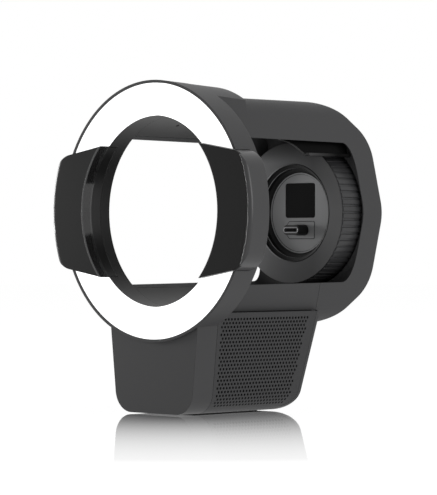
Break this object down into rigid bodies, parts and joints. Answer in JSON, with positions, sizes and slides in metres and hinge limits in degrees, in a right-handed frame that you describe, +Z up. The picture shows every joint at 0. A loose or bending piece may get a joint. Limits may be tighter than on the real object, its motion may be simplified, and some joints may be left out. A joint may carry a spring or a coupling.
{
  "type": "launch monitor",
  "caption": "Portable sensing unit with a ring light, two side pods and an open bay behind it that ends in a docking module with a plug, on a small speaker base.",
  "frame": {"origin": "centre of the foot pad's underside, on the table", "axes": "+X to the unit's right seen from the front, +Y from the ring light back to the docking module, +Z up"},
  "size_m": [0.1144, 0.1052, 0.1339],
  "materials": {
    "body_shell": "fine matte texture",
    "bay_lining": "matte",
    "diffuser": "satin, lit from behind",
    "dark_window": "satin",
    "grille": "matte, perforated",
    "anodised": "satin",
    "disc": "matte",
    "display": "gloss",
    "plug_metal": "satin",
    "plug_plastic": "matte",
    "circuit_board": "satin",
    "led": "gloss",
    "lens": "gloss",
    "battery": "satin wrap",
    "speaker": "matte",
    "pad": "matte"
  },
  "bodies": {
    "housing": {"front_shell": "body_shell", "ring_sleeve": "bay_lining", "upper_light": "diffuser", "lower_light": "diffuser", "upper_led_board": "circuit_board", "lower_led_board": "circuit_board", "led_chips": "led", "left_pod": "body_shell", "right_pod": "body_shell", "left_pod_window": "dark_window", "right_pod_window": "dark_window", "left_camera": "lens", "right_camera": "lens", "left_camera_board": "circuit_board", "right_camera_board": "circuit_board", "main_housing": "body_shell", "upper_liner": "bay_lining", "lower_liner": "bay_lining", "left_guide_rail": "bay_lining", "right_guide_rail": "bay_lining", "base_body": "body_shell", "left_grille": "grille", "right_grille": "grille", "rear_cover": "body_shell", "foot_pad": "pad", "battery_pack": "battery", "main_board": "circuit_board", "left_speaker": "speaker", "right_speaker": "speaker", "module_barrel": "anodised", "face_ring": "anodised", "dock_cup": "plug_plastic", "dock_disc": "disc", "display_window": "display", "plug_island": "dark_window", "usb_plug_shell": "plug_metal", "plug_boot": "plug_plastic", "usb_plug_insert": "plug_plastic", "dock_board": "circuit_board"},
    "grip_ring": {"knurled_ring": "anodised"}
  },
  "joints": [
    {"name": "grip_ring_turn", "type": "hinge", "parent": "housing", "child": "grip_ring", "pos_m": [0, 0.0565, 0.0814], "axis": [0, 1, 0], "range_deg": [0, 60]}
  ]
}
